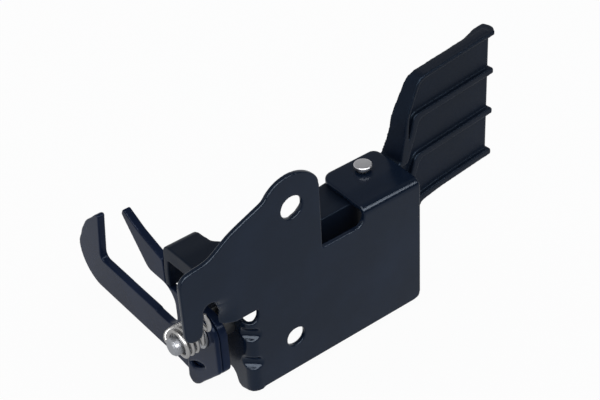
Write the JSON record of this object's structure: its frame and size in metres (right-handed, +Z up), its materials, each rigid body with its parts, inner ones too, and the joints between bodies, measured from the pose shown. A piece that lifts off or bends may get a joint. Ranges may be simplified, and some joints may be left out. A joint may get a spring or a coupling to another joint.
{
  "type": "bonnet latch striker",
  "caption": "Bonnet catch: flat bracket with two bolt holes, sprung hook with barb and open mouth on a side stud, and a ribbed release lever on an upright pin.",
  "frame": {"origin": "centre of the lower bolt hole on the bracket's flat seat face", "axes": "+X right along the mounting plate towards the handle, +Y away from the seat face, the way the hook points, +Z up"},
  "size_m": [0.1588, 0.1003, 0.0897],
  "materials": {
    "black_sheet": "glossy black electrocoat",
    "hook_sheet": "glossy black electrocoat",
    "lever_moulding": "satin black moulding",
    "plated_steel": "bright zinc plated",
    "spring_steel": "bright drawn wire",
    "bronze": "sintered bronze"
  },
  "bodies": {
    "frame": {"mounting_bracket": "black_sheet", "pivot_stud": "plated_steel", "hook_washer": "plated_steel", "return_spring": "spring_steel"},
    "hook": {"catch_hook": "hook_sheet", "hook_doubler": "hook_sheet", "hook_bush": "bronze"},
    "lever": {"release_lever": "lever_moulding", "lever_pin": "plated_steel", "tail_washer": "plated_steel"}
  },
  "joints": [
    {"name": "hook_pivot", "type": "hinge", "parent": "frame", "child": "hook", "pos_m": [-0.0279, 0.0135, 0.0116], "axis": [-1, 0, 0], "range_deg": [0, 18], "stiffness_Nm_per_rad": 0.06, "springref_deg": -68.75, "deforming": ["return_spring"]},
    {"name": "lever_pivot", "type": "hinge", "parent": "frame", "child": "lever", "pos_m": [0.047, 0.018, 0.0379], "axis": [0, 0, -1], "range_deg": [0, 2.16]}
  ],
  "couplings": [
    {"joint": "lever_pivot", "follows": "hook_pivot", "ratio": 0.12}
  ]
}
